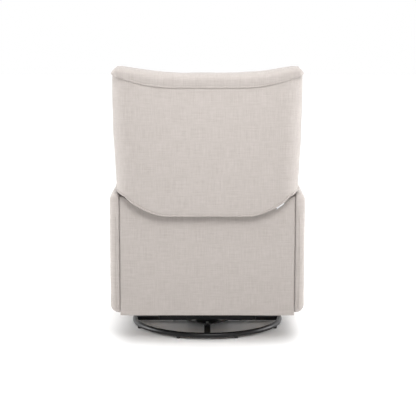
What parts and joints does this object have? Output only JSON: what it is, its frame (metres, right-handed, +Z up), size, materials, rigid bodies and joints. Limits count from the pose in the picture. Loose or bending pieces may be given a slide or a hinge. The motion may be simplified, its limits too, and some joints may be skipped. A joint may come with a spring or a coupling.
{
  "type": "swivel glider recliner",
  "caption": "Upholstered nursery glider chair on a swivelling round tube base, with a gliding seat, a reclining winged back and a fold-out footrest.",
  "frame": {"origin": "on the floor under the swivel axis, midway between the footrest's front and the back's top seam", "axes": "+Z up, the sitter faces -Y, +X to the sitter's left"},
  "size_m": [0.708, 0.8601, 1.0227],
  "materials": {
    "base_paint": "satin black powder coat",
    "frame_paint": "satin black paint",
    "fasteners": "zinc plated",
    "bearing_steel": "oiled steel",
    "zinc": "bright zinc plated",
    "nylon": "moulded nylon",
    "timber": "planed, unfinished",
    "plywood": "sanded plywood",
    "strap": "elastic webbing",
    "felt": "pressed felt pad",
    "upholstery": "fine woven oatmeal cloth"
  },
  "bodies": {
    "base": {"base_ring": "base_paint", "spoke_bars": "base_paint", "hub_plate": "base_paint", "hub_bolts": "fasteners", "hub_nuts": "fasteners", "floor_glides": "nylon", "lower_race": "bearing_steel", "king_pin": "fasteners", "king_nut": "fasteners"},
    "bearing": {"bearing_balls": "bearing_steel", "ball_cage": "nylon"},
    "glider_frame": {"upper_race": "bearing_steel", "cross_members": "frame_paint", "tower_brackets": "frame_paint", "race_bolts": "fasteners", "upper_pins": "fasteners"},
    "front_swing": {"front_links": "frame_paint", "front_bushings": "nylon"},
    "rear_swing": {"rear_links": "frame_paint", "rear_bushings": "nylon"},
    "seat": {"mechanism_rails": "zinc", "hanger_plates": "zinc", "hanger_bolts": "fasteners", "lower_pins": "fasteners", "cross_tubes": "frame_paint", "seat_end_rails": "timber", "seat_side_rails": "timber", "rail_spacers": "fasteners", "arm_bolts": "fasteners", "arm_panels": "plywood", "arm_left": "upholstery", "arm_right": "upholstery", "seat_webbing": "strap", "seat_deck": "felt", "seat_cushion": "upholstery", "rear_frame_rails": "timber", "rear_panel": "upholstery", "footrest_pivot_pins": "fasteners", "back_hinge_pins": "fasteners"},
    "back": {"back_brackets": "zinc", "bracket_screws": "fasteners", "back_posts": "timber", "back_rails": "timber", "back_webbing": "strap", "back_lock_tabs": "zinc", "back_cushion": "upholstery", "wing_left": "upholstery", "wing_right": "upholstery", "top_roll": "upholstery", "outer_back": "upholstery"},
    "thigh": {"thigh_links": "zinc", "knee_pins": "fasteners"},
    "shin": {"shin_links": "zinc"},
    "footrest": {"footrest_brackets": "zinc", "footrest_pins": "fasteners", "footrest_board": "plywood", "footrest_pad": "upholstery"}
  },
  "joints": [
    {"name": "swivel", "type": "hinge", "parent": "base", "child": "glider_frame", "pos_m": [0, 0, 0.041], "axis": [0, 0, 1], "continuous": true},
    {"name": "bearing_roll", "type": "hinge", "parent": "base", "child": "bearing", "pos_m": [0, 0, 0.036], "axis": [0, 0, 1], "continuous": true},
    {"name": "glide", "type": "hinge", "parent": "glider_frame", "child": "front_swing", "pos_m": [0, -0.12, 0.235], "axis": [1, 0, 0], "range_deg": [-20, 20]},
    {"name": "glide_rear", "type": "hinge", "parent": "glider_frame", "child": "rear_swing", "pos_m": [0, 0.12, 0.235], "axis": [1, 0, 0], "range_deg": [-20, 20]},
    {"name": "seat_level", "type": "hinge", "parent": "front_swing", "child": "seat", "pos_m": [0, -0.12, 0.125], "axis": [1, 0, 0], "range_deg": [-20, 20]},
    {"name": "recline", "type": "hinge", "parent": "seat", "child": "back", "pos_m": [0, 0.26, 0.37], "axis": [-1, 0, 0], "range_deg": [0, 35], "stiffness_Nm_per_rad": 45, "springref_deg": -22.92},
    {"name": "footrest_fold", "type": "hinge", "parent": "seat", "child": "thigh", "pos_m": [0, -0.3, 0.285], "axis": [-1, 0, 0], "range_deg": [0, 72]},
    {"name": "footrest_knee", "type": "hinge", "parent": "thigh", "child": "shin", "pos_m": [0, -0.296, 0.13], "axis": [1, 0, 0], "range_deg": [0, 132.1]},
    {"name": "footrest_tilt", "type": "hinge", "parent": "shin", "child": "footrest", "pos_m": [0, -0.318, 0.283], "axis": [-1, 0, 0], "range_deg": [0, 146.1]}
  ],
  "couplings": [
    {"joint": "bearing_roll", "follows": "swivel", "ratio": 0.5},
    {"joint": "glide_rear", "follows": "glide", "ratio": 1},
    {"joint": "seat_level", "follows": "glide", "ratio": -1},
    {"joint": "footrest_knee", "follows": "footrest_fold", "ratio": 1.8333},
    {"joint": "footrest_tilt", "follows": "footrest_fold", "ratio": 2.0278}
  ]
}
